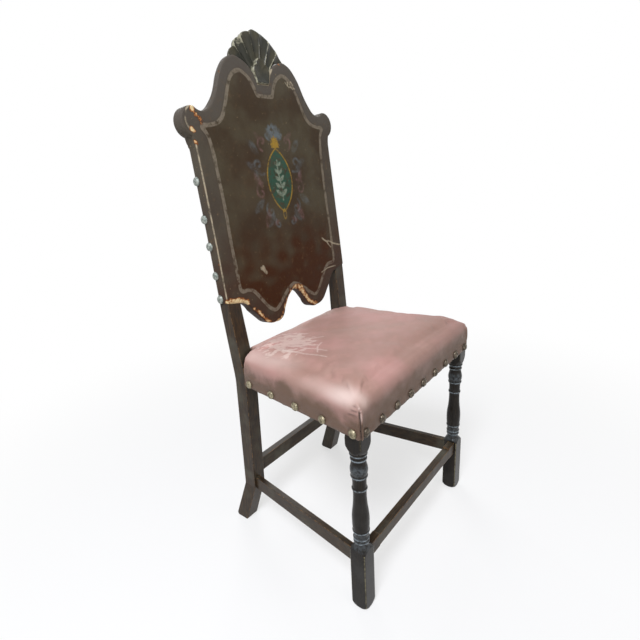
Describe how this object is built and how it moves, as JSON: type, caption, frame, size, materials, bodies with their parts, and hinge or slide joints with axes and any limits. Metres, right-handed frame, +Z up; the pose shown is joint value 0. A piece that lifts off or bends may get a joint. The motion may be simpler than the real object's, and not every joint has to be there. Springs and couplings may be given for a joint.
{
  "type": "upholstered side chair",
  "caption": "High-backed side chair with a shaped raked leather back, carved shell crest, turned front legs, low stretchers and a stuffed leather seat.",
  "frame": {"origin": "middle of the footprint on the floor", "axes": "+Z up, the sitter faces -Y, +X to the right as seen from the front"},
  "size_m": [0.5312, 0.4738, 1.2383],
  "materials": {
    "dark_painted_wood": "worn dark paint and varnish, satin to gloss on the turnings",
    "carved_painted_wood": "dark green-black painted carving, gloss",
    "inner_wood": "bare pine",
    "painted_leather": "dark painted and varnished leather, worn at the edges",
    "outside_leather": "dark plain leather, matte",
    "pink_leather": "dusty pink leather, scuffed, soft sheen",
    "webbing": "woven jute",
    "hessian": "open weave",
    "stuffing": "loose fibre",
    "aged_brass": "aged, grey-green"
  },
  "bodies": {
    "root": {"left_front_leg": "dark_painted_wood", "right_front_leg": "dark_painted_wood", "left_back_post": "dark_painted_wood", "right_back_post": "dark_painted_wood", "left_side_stretcher": "dark_painted_wood", "right_side_stretcher": "dark_painted_wood", "front_stretcher": "dark_painted_wood", "rear_stretcher": "dark_painted_wood", "crest_rail": "dark_painted_wood", "shell_crest": "carved_painted_wood", "left_seat_rail": "inner_wood", "right_seat_rail": "inner_wood", "front_seat_rail": "inner_wood", "rear_seat_rail": "inner_wood", "lower_back_rail": "inner_wood", "back_panel": "inner_wood", "back_cover": "painted_leather", "outside_back_cover": "outside_leather", "seat_cover": "pink_leather", "seat_webbing": "webbing", "seat_hessian": "hessian", "seat_stuffing": "stuffing", "front_seat_nails": "aged_brass", "rear_seat_nails": "aged_brass", "left_seat_nails": "aged_brass", "right_seat_nails": "aged_brass", "left_back_nails": "aged_brass", "right_back_nails": "aged_brass"}
  },
  "joints": []
}
